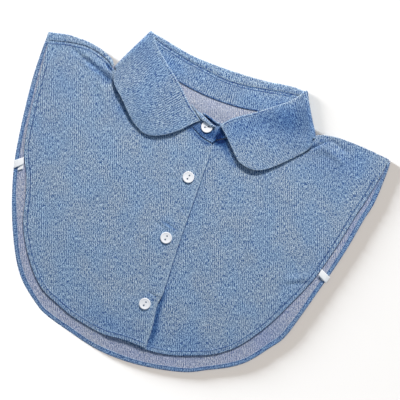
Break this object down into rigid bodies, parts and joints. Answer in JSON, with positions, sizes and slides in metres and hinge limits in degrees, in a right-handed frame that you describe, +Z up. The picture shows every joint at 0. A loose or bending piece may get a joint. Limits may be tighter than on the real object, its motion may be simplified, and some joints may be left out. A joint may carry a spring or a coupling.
{
  "type": "detachable shirt collar (dickey)",
  "caption": "Detachable chambray shirt collar with front and back panels, buttoned and laid flat, round collar points, elastic side straps.",
  "frame": {"origin": "middle of the outline on the surface that the garment lies on", "axes": "+X along the shoulders to the viewer's right (the wearer's left), +Y from the hem to the collar, +Z up from the surface"},
  "size_m": [0.3588, 0.3108, 0.0075],
  "materials": {
    "chambray": "matt plain weave, blue with paler threads",
    "chambray_inside": "matt plain weave, pale grey with a violet cast",
    "button_white": "white resin, satin",
    "elastic_white": "white woven elastic, matt"
  },
  "bodies": {
    "root": {"back_panel": "chambray_inside", "back_hem": "chambray", "right_front": "chambray", "left_front": "chambray", "collar_stand": "chambray", "collar_leaf": "chambray", "button_1": "button_white", "button_2": "button_white", "button_3": "button_white", "button_4": "button_white", "right_strap": "elastic_white", "left_strap": "elastic_white"}
  },
  "joints": []
}
